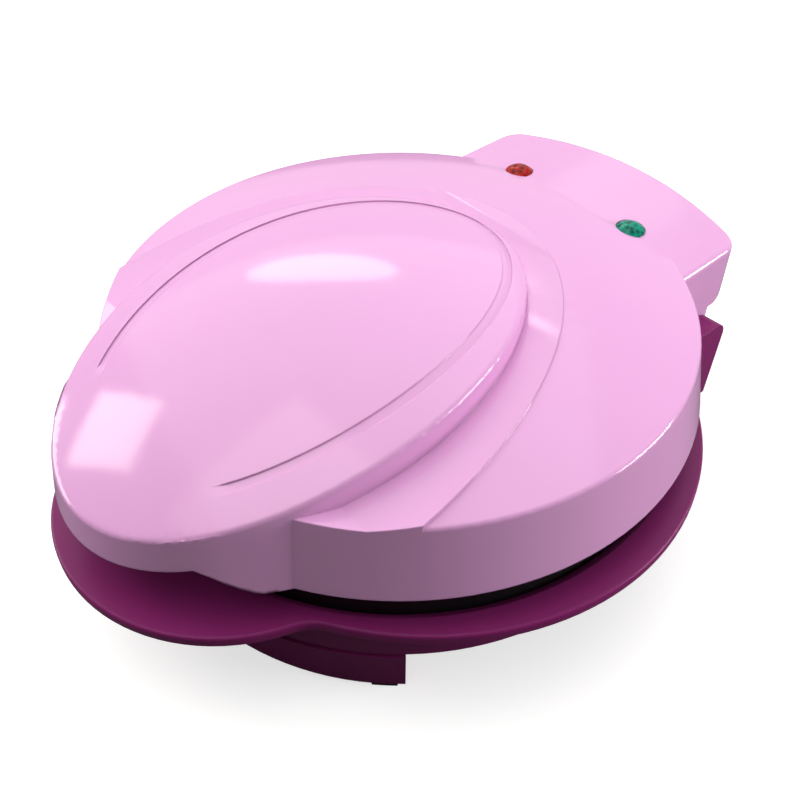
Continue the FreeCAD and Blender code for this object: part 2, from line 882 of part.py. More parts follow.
def skirts():
    top_radius = drum_radius - drum_taper
    section = drum_wall_section(skirt_z, drum_z, top_radius - drum_taper, top_radius)
    front = turned_sector(section, -skirt_half_angle, skirt_half_angle)
    rear = turned_sector(section, 180 - skirt_half_angle, 180 + skirt_half_angle)
    return [front, rear]


def pad_angles():
    return [pad_angle, 180 - pad_angle, 180 + pad_angle, 360 - pad_angle]


def ring_section(outer, inner, bottom, top):
    return [(inner, bottom), (outer, bottom), (outer, top), (inner, top)]


# Pad under the skirt, and the spigot that plugs into the boss above it
def pad_sections():
    outer = drum_radius - 2 * drum_taper
    tread = ring_section(outer, outer - pad_depth, 0, pad_drop)
    inner = outer - pad_depth
    spigot_outer = outer - spigot_outer_inset
    spigot = ring_section(spigot_outer, inner + spigot_inner_inset, pad_drop, pad_drop + pad_spigot)
    boss = ring_section(outer - drum_wall / 2, inner - pad_boss_margin, skirt_z, drum_z - cover_gap)
    return tread, spigot, boss


def foot_pad(angle):
    half = pad_spread / 2
    inner = spigot_spread / 2
    tread, spigot, boss = pad_sections()
    foot = turned_sector(tread, angle - half, angle + half)
    plug = turned_sector(spigot, angle - inner, angle + inner)
    return merge([foot, plug])


# Side view of the ear that carries a hinge pin
def hinge_ear():
    x0 = ear_x
    x1 = ear_x + ear_thickness
    crown = hinge_z + ear_radius
    points = [
        (ear_foot_reach - ear_foot_depth, drum_z + drum_foot_chamfer),
        (ear_foot_reach - ear_foot_depth, tray_z + ear_front_rise),
        (hinge_y - ear_crown_length, crown),
        (hinge_y, crown),
        (hinge_y + ear_radius, hinge_z),
        (ear_foot_reach, drum_z + drum_foot_chamfer),
    ]
    arm = side_plate(points, x0, x1)
    eye = Part.makeCylinder(ear_radius, ear_thickness, V(x0, hinge_y, hinge_z), across)
    bore = Part.makeCylinder(pin_radius, ear_bore_depth, V(x0, hinge_y, hinge_z), across)
    return arm.fuse(eye), bore


def lug_arm(angle):
    bottom = lower_back_z - plate_boss - lug_thickness
    length = drum_bore + drum_wall / 2 - lug_circle
    arm = Part.makeBox(lug_width, length, lug_thickness, V(-lug_width / 2, lug_circle, bottom))
    end = Part.makeCylinder(lug_width / 2, lug_thickness, V(0, lug_circle, bottom))
    lug = arm.fuse(end)
    lug.rotate(V(0, 0, 0), up, angle + 180)
    return lug


def cover_screw_places():
    radius = drum_bore - bottom_lip_width / 2
    angles = [cover_screw_angle, 180 - cover_screw_angle, 180 + cover_screw_angle, 360 - cover_screw_angle]
    return [at_angle(radius, angle) for angle in angles]


def lip_z():
    return drum_z + cover_thickness


def base_shell():
    tray = tray_outline(0.0, flange_z, tray_z)
    tray = tray.makeFillet(tray_edge_round, [e for e in tray.Edges if e.BoundBox.ZLength < 0.01])
    under = tray_outline(tray_lip, flange_z, tray_z - tray_skin)
    tray = tray.cut(under.cut(cylinder(drum_radius, flange_z, tray_z)))
    waist = drum_radius - drum_taper
    join = drum_bore + overrun
    wall = turned([
        (drum_bore, drum_z), (waist - drum_foot_chamfer, drum_z), (waist, drum_z + drum_foot_chamfer),
        (drum_radius, flange_z), (drum_radius, flange_z + overrun), (drum_bore, flange_z + overrun),
    ])
    lip_inner = drum_bore - bottom_lip_width
    lip = turned(ring_section(join, lip_inner, lip_z(), lip_z() + bottom_lip))
    seat_inner = base_bore - ledge_width
    seat = turned([
        (seat_inner, ledge_z - ledge_width), (join, ledge_z - ledge_width - ledge_slope),
        (join, ledge_z), (seat_inner, ledge_z),
    ])
    ear, pin_hole = hinge_ear()
    inside = cylinder(drum_bore, drum_z - overrun, high)
    ears = [part.cut(inside) for part in (ear, mirrored(ear))]
    mouth = turned([
        (0, ledge_z), (base_bore, ledge_z), (base_bore, tray_z - dish_depth),
        (base_bore + dish_flare, tray_z), (base_bore + dish_flare, high), (0, high),
    ])
    well = cylinder(seat_inner, flange_z - overrun, high)
    body = tray.fuse([wall] + skirts() + ears).cut([mouth, well])
    added = [lip, seat]
    holes = [pin_hole, mirrored(pin_hole)]
    for i, place in enumerate(lower_screw_places()):
        added.append(lug_arm(plate_screw_turn + 360.0 * i / plate_screw_count))
        holes.append(cylinder(screw_clear, drum_z, ledge_z, place[0], place[1]))
    for x, y in cover_screw_places():
        added.append(cylinder(boss_radius, lip_z(), lip_z() + cover_boss, x, y))
        holes.append(cylinder(screw_core, lip_z() - overrun, lip_z() + cover_boss + overrun, x, y))
    wide = pad_spread / 2 + pad_boss_margin
    inner = spigot_spread / 2
    tread, spigot, boss = pad_sections()
    for angle in pad_angles():
        added.append(turned_sector(boss, angle - wide, angle + wide))
        holes.append(turned_sector(spigot, angle - inner, angle + inner))
    holes.append(gland_sector(gland_slot(), 0))
    return body.fuse(added).cut(holes)


def bottom_cover():
    cover = cylinder(drum_bore - cover_gap, drum_z, lip_z())
    low = drum_z - overrun
    top = lip_z() + overrun
    holes = [cylinder(screw_clear, low, top, x, y) for x, y in cover_screw_places()]
    for i in range(vent_count):
        y = (i - (vent_count - 1) / 2) * vent_pitch
        slot = block(vent_length, vent_width, low, top, y - vent_width / 2)
        ends = [e for e in slot.Edges if e.BoundBox.ZLength > cover_thickness]
        holes.append(slot.makeFillet(vent_end_round, ends))
    return cover.cut(holes)


def terminal_block():
    bottom = lip_z()
    body = block(block_width, block_depth, bottom, bottom + block_height, block_y)
    top_edges = [e for e in body.Edges if e.BoundBox.ZMin > bottom + block_height - 0.01]
    body = body.makeChamfer(block_chamfer, top_edges)
    holes = []
    for side in (-1, 0, 1):
        x = side * block_width / 3
        holes.append(cylinder(screw_core, bottom + block_floor, high, x, block_y + block_depth / 2))
        start = V(x, block_y - overrun, bottom + block_wire_z)
        holes.append(Part.makeCylinder(screw_core, block_depth + 2 * overrun, start, rearward))
    return body.cut(holes)


# Radius of the outside of the drum at a height
def drum_outside(z):
    foot = drum_z + drum_foot_chamfer
    return drum_radius - drum_taper * (flange_z - z) / (flange_z - foot)


def gland_sector(section, overlap):
    half = gland_half_angle + overlap
    return turned_sector(section, 180 - half, 180 + half)


# Section of the slot in the rear wall, which runs down through the skirt
def gland_slot():
    inner = drum_bore - drum_taper - overrun
    outer = drum_radius + overrun
    top = gland_z + gland_head
    return [
        (inner, 0), (outer, 0), (outer, top),
        (drum_bore, top), (drum_bore, drum_z), (inner, drum_z),
    ]


# Block that slides into the slot from below, with a flange on each side and a bore for the supply lead
def cord_gland():
    foot = drum_z + drum_foot_chamfer
    top = gland_z + gland_head
    neck = gland_sector([
        (drum_bore, drum_z), (drum_outside(foot) - drum_foot_chamfer, drum_z), (drum_outside(foot), foot),
        (drum_outside(top), top), (drum_bore, top),
    ], 0)
    outside = gland_sector([
        (drum_outside(foot), foot), (drum_outside(foot) + gland_flange, foot),
        (drum_outside(top) + gland_flange, top), (drum_outside(top), top),
    ], gland_overlap)
    low = lip_z() + bottom_lip + gland_play
    inside = gland_sector(ring_section(drum_bore, drum_bore - gland_flange, low, top - gland_flange_drop),
                          gland_overlap)
    bore = Part.makeCylinder(gland_bore, 2 * overreach, V(0, drum_bore - overreach, gland_z), rearward)
    return merge([neck, outside, inside]).cut(bore)


def hinge_pin():
    start = V(arm_inner_x - pin_side_gap, hinge_y, hinge_z)
    length = ear_x + ear_bore_depth - start.x
    pin = Part.makeCylinder(pin_radius, length, start, across)
    head = Part.makeCylinder(pin_head_radius, pin_head, start - V(pin_head, 0, 0), across)
    return merge([pin, head])


def screw_group(places, seat, length):
    return Part.makeCompound([pan_screw(x, y, seat, length) for x, y in places])


nodes = {
    "lid_shell": lid_shell(),
    "upper_cooking_plate": upper_cooking_plate(),
    "upper_plate_screws": Part.makeCompound([sunk_screw(x, y) for x, y in upper_screw_places()]),
    "upper_heating_element": heating_element(upper_back_z, 1),
    "upper_element_clamps": element_clamps(upper_back_z, 1),
    "upper_heat_shield": heat_shield(upper_back_z, 1),
    "upper_shield_spacers": shield_spacers(upper_back_z, 1),
    "upper_shield_screws": shield_screws(upper_back_z, 1),
    "red_indicator_lens": indicator_lens(*lamp_places()[0]),
    "green_indicator_lens": indicator_lens(*lamp_places()[1]),
    "red_neon_lamp": neon_lamp(*lamp_places()[0]),
    "green_neon_lamp": neon_lamp(*lamp_places()[1]),
    "lamp_holder": lamp_holder(),
    "lamp_holder_screws": screw_group(holder_posts(), lamp_floor() - holder_thickness,
                                      holder_thickness + holder_screw_length),
    "base_shell": base_shell(),
    "bottom_cover": bottom_cover(),
    "bottom_cover_screws": screw_group(cover_screw_places(), drum_z, cover_boss),
    "lower_cooking_plate": lower_cooking_plate(),
    "lower_plate_screws": screw_group(lower_screw_places(), lower_back_z - plate_boss - lug_thickness,
                                      plate_boss + lug_thickness),
    "lower_heating_element": heating_element(lower_back_z, -1),
    "lower_element_clamps": element_clamps(lower_back_z, -1),
    "lower_heat_shield": heat_shield(lower_back_z, -1),
    "lower_shield_spacers": shield_spacers(lower_back_z, -1),
    "lower_shield_screws": shield_screws(lower_back_z, -1),
    "thermostat": thermostat(),
    "thermostat_clip": thermostat_clip(),
    "thermal_fuse": thermal_fuse(),
    "fuse_clip": fuse_clip(),
    "terminal_block": terminal_block(),
    "cord_gland": cord_gland(),
    "hinge_pin_right": hinge_pin(),
    "hinge_pin_left": mirrored(hinge_pin()),
}
for name, angle in zip(("front_right", "rear_right", "rear_left", "front_left"), pad_angles()):
    nodes["foot_pad_" + name] = foot_pad(angle)

os.makedirs("parts", exist_ok=True)
for name, shape in nodes.items():
    shape.translate(V(0, -middle_y, 0))
    shape.exportStep("parts/" + name + ".step")
    box = shape.BoundBox
    print(name, len(shape.Solids), shape.isValid(), round(shape.Volume / 1000, 2), "cm3",
          [round(v, 1) for v in (box.XMin, box.XMax, box.YMin, box.YMax, box.ZMin, box.ZMax)])
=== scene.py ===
import json
import math

import bpy
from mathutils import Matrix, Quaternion, Vector

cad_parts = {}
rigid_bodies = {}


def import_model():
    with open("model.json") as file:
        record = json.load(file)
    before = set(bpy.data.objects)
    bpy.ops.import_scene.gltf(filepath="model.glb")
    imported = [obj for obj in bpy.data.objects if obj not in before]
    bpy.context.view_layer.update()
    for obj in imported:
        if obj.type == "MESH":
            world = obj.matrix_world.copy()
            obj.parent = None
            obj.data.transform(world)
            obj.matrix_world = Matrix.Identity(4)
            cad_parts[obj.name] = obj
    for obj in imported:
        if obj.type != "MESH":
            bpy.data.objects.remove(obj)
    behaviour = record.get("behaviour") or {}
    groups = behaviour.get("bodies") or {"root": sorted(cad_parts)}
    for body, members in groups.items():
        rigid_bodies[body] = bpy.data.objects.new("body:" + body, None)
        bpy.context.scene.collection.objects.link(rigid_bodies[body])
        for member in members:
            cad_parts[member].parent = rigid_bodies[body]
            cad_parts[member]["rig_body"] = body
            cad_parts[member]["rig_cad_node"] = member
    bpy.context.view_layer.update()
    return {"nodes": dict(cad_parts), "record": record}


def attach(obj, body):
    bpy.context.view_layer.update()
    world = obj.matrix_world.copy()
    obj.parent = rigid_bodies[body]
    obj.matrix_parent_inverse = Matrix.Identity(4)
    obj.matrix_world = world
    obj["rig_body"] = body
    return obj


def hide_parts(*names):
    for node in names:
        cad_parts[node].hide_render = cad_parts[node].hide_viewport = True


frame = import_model()
nodes = frame["nodes"]
scene = bpy.context.scene
print("frame loaded,", len(nodes), "nodes")


def deselectAll():
    if bpy.context.mode != "OBJECT":
        bpy.ops.object.mode_set(mode="OBJECT")
    bpy.ops.object.select_all(action="DESELECT")


def pickOnly(piece):
    deselectAll()
    piece.select_set(True)
    bpy.context.view_layer.objects.active = piece


# camera, from the round edges and the lens pair in the photograph
viewpoint = {
    "place": (0.185208, -0.163879, 0.270401),
    "turn": (46.56, 0.0, 47.91),
    "lens": 43.43,
    "sensor": 36.0,
    "nearest": 0.01,
}


def setCamera():
    deselectAll()
    turn = [math.radians(a) for a in viewpoint["turn"]]
    bpy.ops.object.camera_add(location=viewpoint["place"], rotation=turn)
    camera = bpy.context.active_object
    camera.name = "photoCamera"
    camera.data.sensor_width = viewpoint["sensor"]
    camera.data.lens = viewpoint["lens"]
    camera.data.clip_start = viewpoint["nearest"]
    camera.data.dof.use_dof = False
    scene.camera = camera


setCamera()
print("camera set")


# each input gets a link or a fixed value
def feed(tree, node, sources):
    for label, source in sources.items():
        if isinstance(source, bpy.types.NodeSocket):
            tree.links.new(source, node.inputs[label])
        else:
            node.inputs[label].default_value = source


def addNode(tree, kind, sources, **settings):
    node = tree.nodes.new(kind)
    for label, value in settings.items():
        setattr(node, label, value)
    feed(tree, node, sources)
    return node


def addMath(tree, operation, *sources):
    return addNode(tree, "ShaderNodeMath", dict(enumerate(sources)), operation=operation).outputs[0]


def newMaterial(name):
    material = bpy.data.materials.new(name)
    material.use_nodes = True
    tree = material.node_tree
    return material, tree, tree.nodes["Principled BSDF"]


def newGroup(name, inputs, outputs):
    group = bpy.data.node_groups.new(name, "ShaderNodeTree")
    for label, kind, value in inputs:
        socket = group.interface.new_socket(name=label, in_out="INPUT", socket_type=kind)
        socket.default_value = value
    for label, kind in outputs:
        group.interface.new_socket(name=label, in_out="OUTPUT", socket_type=kind)
    entry = group.nodes.new("NodeGroupInput")
    leave = group.nodes.new("NodeGroupOutput")
    return group, entry.outputs, leave


def placeGroup(tree, group, sources):
    return addNode(tree, "ShaderNodeGroup", sources, node_tree=group).outputs


# moulded plastic: slow drift of the colour, fine skin, roughness that wanders a little
skinPattern = {"driftScale": 14.0, "driftDetail": 3.0, "grainDetail": 2.0, "noiseMiddle": 0.5}


def makeMouldedSkin():
    group, entry, leave = newGroup(
        "mouldedSkin",
        [("Color", "NodeSocketColor", (0.5, 0.5, 0.5, 1.0)),
         ("Drift", "NodeSocketFloat", 0.06),
         ("Grain Scale", "NodeSocketFloat", 900.0),
         ("Rough", "NodeSocketFloat", 0.2),
         ("Rough Spread", "NodeSocketFloat", 0.05)],
        [("Color", "NodeSocketColor"), ("Roughness", "NodeSocketFloat"), ("Height", "NodeSocketFloat")])
    place = addNode(group, "ShaderNodeTexCoord", {}).outputs["Object"]
    slow = addNode(group, "ShaderNodeTexNoise", {
        "Vector": place, "Scale": skinPattern["driftScale"], "Detail": skinPattern["driftDetail"]})
    fine = addNode(group, "ShaderNodeTexNoise", {
        "Vector": place, "Scale": entry["Grain Scale"], "Detail": skinPattern["grainDetail"]})
    centred = addMath(group, "SUBTRACT", slow.outputs["Fac"], skinPattern["noiseMiddle"])
    swing = addMath(group, "MULTIPLY_ADD", centred, entry["Drift"], 1.0)
    tone = addNode(group, "ShaderNodeHueSaturation", {"Color": entry["Color"], "Value": swing})
    rough = addMath(group, "MULTIPLY_ADD", slow.outputs["Fac"], entry["Rough Spread"], entry["Rough"])
    feed(group, leave, {"Color": tone.outputs["Color"], "Roughness": rough, "Height": fine.outputs["Fac"]})
    return group


# light dust that settles on faces that look up
dustPattern = {"steepest": 0.35, "flattest": 0.95, "detail": 5.0}


def makeSettledDust():
    group, entry, leave = newGroup(
        "settledDust",
        [("Amount", "NodeSocketFloat", 0.1), ("Scale", "NodeSocketFloat", 60.0)],
        [("Mask", "NodeSocketFloat")])
    coords = addNode(group, "ShaderNodeTexCoord", {}).outputs
    parts = addNode(group, "ShaderNodeSeparateXYZ", {0: coords["Normal"]})
    upward = addNode(group, "ShaderNodeMapRange", {
        "Value": parts.outputs["Z"],
        "From Min": dustPattern["steepest"], "From Max": dustPattern["flattest"]})
    cloud = addNode(group, "ShaderNodeTexNoise", {
        "Vector": coords["Object"], "Scale": entry["Scale"], "Detail": dustPattern["detail"]})
    patchy = addMath(group, "MULTIPLY", upward.outputs[0], cloud.outputs["Fac"])
    feed(group, leave, {"Mask": addMath(group, "MULTIPLY", patchy, entry["Amount"])})
    return group


# drawn or turned metal: streaks along one axis
streakPattern = {"scale": 1.0, "detail": 4.0, "dark": 0.82, "light": 1.12, "roughSwing": 0.18}


def makeDrawnStreaks():
    group, entry, leave = newGroup(
        "drawnStreaks",
        [("Color", "NodeSocketColor", (0.6, 0.6, 0.6, 1.0)),
         ("Stretch", "NodeSocketVector", (40.0, 1500.0, 1500.0)),
         ("Rough", "NodeSocketFloat", 0.25)],
        [("Color", "NodeSocketColor"), ("Roughness", "NodeSocketFloat"), ("Height", "NodeSocketFloat")])
    place = addNode(group, "ShaderNodeTexCoord", {}).outputs["Object"]
    pull = addNode(group, "ShaderNodeVectorMath", {0: place, 1: entry["Stretch"]}, operation="MULTIPLY")
    streak = addNode(group, "ShaderNodeTexNoise", {
        "Vector": pull.outputs[0], "Scale": streakPattern["scale"], "Detail": streakPattern["detail"]})
    shade = addNode(group, "ShaderNodeMapRange", {
        "Value": streak.outputs["Fac"], "To Min": streakPattern["dark"], "To Max": streakPattern["light"]})
    tone = addNode(group, "ShaderNodeHueSaturation", {"Color": entry["Color"], "Value": shade.outputs[0]})
    rough = addMath(group, "MULTIPLY_ADD", streak.outputs["Fac"], streakPattern["roughSwing"], entry["Rough"])
    feed(group, leave, {"Color": tone.outputs["Color"], "Roughness": rough, "Height": streak.outputs["Fac"]})
    return group


mouldedSkin = makeMouldedSkin()
settledDust = makeSettledDust()
drawnStreaks = makeDrawnStreaks()


def placeSkin(tree, finish):
    return placeGroup(tree, mouldedSkin, {
        "Color": finish["color"], "Drift": finish["drift"], "Grain Scale": finish["grain"],
        "Rough": finish["rough"], "Rough Spread": finish["spread"]})


def bumpFrom(tree, height, shader, strength, distance):
    bump = addNode(tree, "ShaderNodeBump", {"Height": height, "Strength": strength, "Distance": distance})
    feed(tree, shader, {"Normal": bump.outputs["Normal"]})
    return bump


# edges of a moulding catch the light as if slightly rounded
edgeSamples = 6


def softEdges(tree, bump, radius):
    bevel = addNode(tree, "ShaderNodeBevel", {"Radius": radius}, samples=edgeSamples)
    feed(tree, bump, {"Normal": bevel.outputs["Normal"]})


plastic = {"ior": 1.5, "bumpDepth": 0.0004, "dustScale": 90.0, "dustColor": (0.75, 0.73, 0.72, 1.0)}
plasticFinishes = {
    "lidGloss": {
        "color": (0.80, 0.40, 0.73, 1.0), "drift": 0.05, "grain": 260.0, "rough": 0.08, "spread": 0.06,
        "bump": 0.03, "dust": 0.03, "edge": 0.0006, "shine": 0.5},
    "baseMagenta": {
        "color": (0.23, 0.014, 0.135, 1.0), "drift": 0.12, "grain": 1500.0, "rough": 0.30, "spread": 0.12,
        "bump": 0.12, "dust": 0.01, "edge": 0.0006, "shine": 0.2},
    "darkPlastic": {
        "color": (0.012, 0.011, 0.012, 1.0), "drift": 0.25, "grain": 1800.0, "rough": 0.38, "spread": 0.15,
        "bump": 0.15, "dust": 0.04, "edge": 0.0004, "shine": 0.5},
    "phenolic": {
        "color": (0.09, 0.035, 0.018, 1.0), "drift": 0.35, "grain": 1200.0, "rough": 0.35, "spread": 0.2,
        "bump": 0.2, "dust": 0.03, "edge": 0.0003, "shine": 0.5},
    "padRubber": {
        "color": (0.02, 0.012, 0.018, 1.0), "drift": 0.3, "grain": 2600.0, "rough": 0.65, "spread": 0.2,
        "bump": 0.4, "dust": 0.08, "edge": 0.0004, "shine": 0.3},
}


def plasticMaterial(name, finish):
    material, tree, shader = newMaterial(name)
    skin = placeSkin(tree, finish)
    dust = placeGroup(tree, settledDust, {"Amount": finish["dust"], "Scale": plastic["dustScale"]})
    dusted = addNode(tree, "ShaderNodeMix", {
        "Factor": dust["Mask"], "A": skin["Color"], "B": plastic["dustColor"]}, data_type="RGBA")
    feed(tree, shader, {
        "Base Color": dusted.outputs["Result"], "Roughness": skin["Roughness"],
        "IOR": plastic["ior"], "Specular IOR Level": finish["shine"]})
    bump = bumpFrom(tree, skin["Height"], shader, finish["bump"], plastic["bumpDepth"])
    softEdges(tree, bump, finish["edge"])
    return material


# cast aluminium under a black non-stick coat with tiny light flecks
coat = {
    "color": (0.011, 0.011, 0.012, 1.0), "drift": 0.4, "grain": 2200.0, "rough": 0.26, "spread": 0.16,
    "bump": 0.25, "bumpDepth": 0.0002, "edge": 0.0005,
    "fleckColor": (0.07, 0.07, 0.075, 1.0), "fleckScale": 420.0, "fleckRim": 0.16, "fleckCore": 0.10,
    "fleckMost": 0.5,
}


def nonstickMaterial():
    material, tree, shader = newMaterial("nonstickCoat")
    skin = placeSkin(tree, coat)
    place = addNode(tree, "ShaderNodeTexCoord", {}).outputs["Object"]
    flecks = addNode(tree, "ShaderNodeTexVoronoi", {"Vector": place, "Scale": coat["fleckScale"]})
    spots = addNode(tree, "ShaderNodeMapRange", {
        "Value": flecks.outputs["Distance"], "From Min": coat["fleckRim"], "From Max": coat["fleckCore"],
        "To Max": coat["fleckMost"]})
    mixed = addNode(tree, "ShaderNodeMix", {
        "Factor": spots.outputs[0], "A": skin["Color"], "B": coat["fleckColor"]}, data_type="RGBA")
    feed(tree, shader, {"Base Color": mixed.outputs["Result"], "Roughness": skin["Roughness"]})
    bump = bumpFrom(tree, skin["Height"], shader, coat["bump"], coat["bumpDepth"])
    softEdges(tree, bump, coat["edge"])
    return material


metal = {"bump": 0.1, "bumpDepth": 0.0001}
metalFinishes = {
    "zincSteel": {"color": (0.55, 0.55, 0.57, 1.0), "rough": 0.22, "stretch": (900.0, 900.0, 60.0)},
    "heaterSteel": {"color": (0.20, 0.17, 0.15, 1.0), "rough": 0.38, "stretch": (500.0, 500.0, 500.0)},
    "shieldSheet": {"color": (0.78, 0.79, 0.80, 1.0), "rough": 0.25, "stretch": (30.0, 1400.0, 1400.0)},
}


def metalMaterial(name, finish):
    material, tree, shader = newMaterial(name)
    streaks = placeGroup(tree, drawnStreaks, {
        "Color": finish["color"], "Rough": finish["rough"], "Stretch": finish["stretch"]})
    feed(tree, shader, {
        "Base Color": streaks["Color"], "Roughness": streaks["Roughness"], "Metallic": 1.0})
    bumpFrom(tree, streaks["Height"], shader, metal["bump"], metal["bumpDepth"])
    return material


# tinted lens: clear coloured plastic with a cut pattern on its inside, and painted glints that make some
# facets darker and some brighter
lens = {
    "drift": 0.25, "grain": 500.0, "rough": 0.03, "spread": 0.04, "bump": 0.35, "bumpDepth": 0.0003,
    "clear": 0.3, "ior": 1.49, "shine": 0.12,
    "facetScale": 520.0, "paintedGlintFrom": 0.15, "paintedGlintTo": 0.75, "paintedGlintLow": 0.35, "paintedGlintHigh": 2.2,
}
lensColors = {"redLens": (0.30, 0.008, 0.005, 1.0), "greenLens": (0.0, 0.20, 0.135, 1.0)}


def lensMaterial(name, color):
    material, tree, shader = newMaterial(name)
    skin = placeSkin(tree, {**lens, "color": color})
    place = addNode(tree, "ShaderNodeTexCoord", {}).outputs["Object"]
    facets = addNode(tree, "ShaderNodeTexVoronoi", {"Vector": place, "Scale": lens["facetScale"]})
    # painted glints: facet by facet the lens colour is made darker or up to about twice as bright, standing
    # in for sparkle
    paintedGlint = addNode(tree, "ShaderNodeMapRange", {
        "Value": facets.outputs["Distance"], "From Min": lens["paintedGlintFrom"], "From Max": lens["paintedGlintTo"],
        "To Min": lens["paintedGlintLow"], "To Max": lens["paintedGlintHigh"]})
    paintedSparkle = addNode(tree, "ShaderNodeHueSaturation", {"Color": skin["Color"], "Value": paintedGlint.outputs[0]})
    feed(tree, shader, {
        "Base Color": paintedSparkle.outputs["Color"], "Roughness": skin["Roughness"],
        "Transmission Weight": lens["clear"], "IOR": lens["ior"], "Specular IOR Level": lens["shine"]})
    bumpFrom(tree, facets.outputs["Distance"], shader, lens["bump"], lens["bumpDepth"])
    return material


lampFinish = {
    "color": (0.95, 0.85, 0.72, 1.0), "drift": 0.1, "grain": 300.0, "rough": 0.02, "spread": 0.05,
    "clear": 0.9,
}


def lampGlassMaterial():
    material, tree, shader = newMaterial("lampGlass")
    skin = placeSkin(tree, lampFinish)
    feed(tree, shader, {
        "Base Color": skin["Color"], "Roughness": skin["Roughness"],
        "Transmission Weight": lampFinish["clear"]})
    return material


plastics = {name: plasticMaterial(name, finish) for name, finish in plasticFinishes.items()}
metals = {name: metalMaterial(name, finish) for name, finish in metalFinishes.items()}
lenses = {name: lensMaterial(name, color) for name, color in lensColors.items()}
print("materials made")

finishBySlot = {
    "lid_gloss": plastics["lidGloss"], "base_magenta": plastics["baseMagenta"],
    "dark_plastic": plastics["darkPlastic"], "thermostat_body": plastics["phenolic"],
    "pad_rubber": plastics["padRubber"], "nonstick_plate": nonstickMaterial(),
    "steel": metals["zincSteel"], "heater_tube": metals["heaterSteel"], "shield_sheet": metals["shieldSheet"],
    "red_lens": lenses["redLens"], "green_lens": lenses["greenLens"], "lamp_glass": lampGlassMaterial(),
}
record = frame["record"]
slotOf = {row["node"]: row["material_slot"] for row in record["subparts"]}
bodyOf = {node: body for body, members in record["behaviour"]["bodies"].items() for node in members}


def wear(piece, material):
    piece.data.materials.clear()
    piece.data.materials.append(material)


for name, node in nodes.items():
    wear(node, finishBySlot[slotOf[name]])
print("CAD nodes dressed")

# merged copies that stand for CAD nodes: piece name, and the angle in degrees up to which it shades smooth
skins = {
    "lid_shell": ("lidSkin", 22.0),
    "base_shell": ("baseSkin", 25.0),
    "upper_cooking_plate": ("upperPlate", 25.0),
    "lower_cooking_plate": ("lowerPlate", 25.0),
    "red_indicator_lens": ("redLensCap", 35.0),
    "green_indicator_lens": ("greenLensCap", 35.0),
}
skinning = {"mergeWithin": 0.000002, "areaWeight": 50}


def smoothSkin(nodeName, pieceName, angle):
    pickOnly(nodes[nodeName])
    bpy.ops.object.duplicate()
    piece = bpy.context.active_object
    piece.name = pieceName
    piece.data.name = pieceName
    piece.parent = None
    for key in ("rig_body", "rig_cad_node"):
        if key in piece:
            del piece[key]
    bpy.ops.mesh.customdata_custom_splitnormals_clear()
    bpy.ops.object.mode_set(mode="EDIT")
    bpy.ops.mesh.select_all(action="SELECT")
    bpy.ops.mesh.remove_doubles(threshold=skinning["mergeWithin"])
    bpy.ops.object.mode_set(mode="OBJECT")
    bpy.ops.object.shade_smooth_by_angle(angle=math.radians(angle))
    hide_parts(nodeName)
    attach(piece, bodyOf[nodeName])
    return piece


# broad faces keep their own direction and the narrow rounds between them take the turn
def weighNormals(piece):
    pickOnly(piece)
    bpy.ops.object.modifier_add(type="WEIGHTED_NORMAL")
    weigh = piece.modifiers[-1]
    weigh.mode = "FACE_AREA"
    weigh.weight = skinning["areaWeight"]
    weigh.keep_sharp = True
    bpy.ops.object.modifier_apply(modifier=weigh.name)


# the groove in the crown gets shallow, and stops where the photograph shows its ends
groove = {
    "peakY": -0.00965, "axisZ": -0.1102, "along": 0.209, "across": 0.227,  # the crown's two curves
    "cutDepth": 0.0009, "depth": 0.0005, "endY": -0.0867, "play": 0.00006,
    "halfWidth": 0.06, "halfLength": 0.11, "lowest": 0.07,
}


def crownHeight(x, y, depth):
    reach = groove["along"] - groove["across"] + math.sqrt(groove["across"] ** 2 - x ** 2) - depth
    return groove["axisZ"] + math.sqrt(reach ** 2 - (y - groove["peakY"]) ** 2)


def shapeGroove(piece):
    moved = 0
    for vertex in piece.data.vertices:
        x, y, z = vertex.co
        if abs(x) > groove["halfWidth"] or abs(y) > groove["halfLength"] or z < groove["lowest"]:
            continue
        if abs(z - crownHeight(x, y, groove["cutDepth"])) < groove["play"]:
            depth = groove["depth"] if y > groove["endY"] else 0.0
            vertex.co.z = crownHeight(x, y, depth)
            moved += 1
    print("groove floor points moved:", moved)


# the leaf is an oval with drafted walls that rise from the lid's rim
leaf = {
    "middleY": -0.03605, "halfWidth": 0.0626, "halfLength": 0.0828,
    "rimZ": 0.055, "draft": 9.5, "play": 0.006,
}


def leafTaper(rise):
    return rise * math.tan(math.radians(leaf["draft"]))


def leafHalves(z):
    taper = leafTaper(z - leaf["rimZ"])
    return leaf["halfWidth"] - taper, leaf["halfLength"] - taper


def onLeafWall(x, y, z):
    halfWidth, halfLength = leafHalves(z)
    away = math.hypot(x / halfWidth, (y - leaf["middleY"]) / halfLength)
    return abs(away - 1.0) < leaf["play"]


# the band beside the leaf dips towards the leaf, like a shallow gutter; it follows an arc through three
# points, each given as y and the rise over the rim, with a straight apron in front of the first
band = {
    "front": (-0.06665, 0.0232), "middle": (-0.01465, 0.0315), "rear": (0.05535, 0.036),
    "apronSlope": 0.0333, "dip": 0.0014, "dipStartY": -0.072, "dipFullY": -0.040, "play": 0.00012,
}


def fitBandArc():
    front, middle, rear = [Vector(band[point]) for point in ("front", "middle", "rear")]
    foreChord = middle - front
    aftChord = rear - middle
    foreMiddle = (middle + front) / 2
    aftMiddle = (rear + middle) / 2
    square = Vector((-foreChord.y, foreChord.x))
    away = (aftMiddle - foreMiddle).dot(aftChord) / square.dot(aftChord)
    centre = foreMiddle + away * square
    return centre, (front - centre).length


bandCentre, bandRadius = fitBandArc()


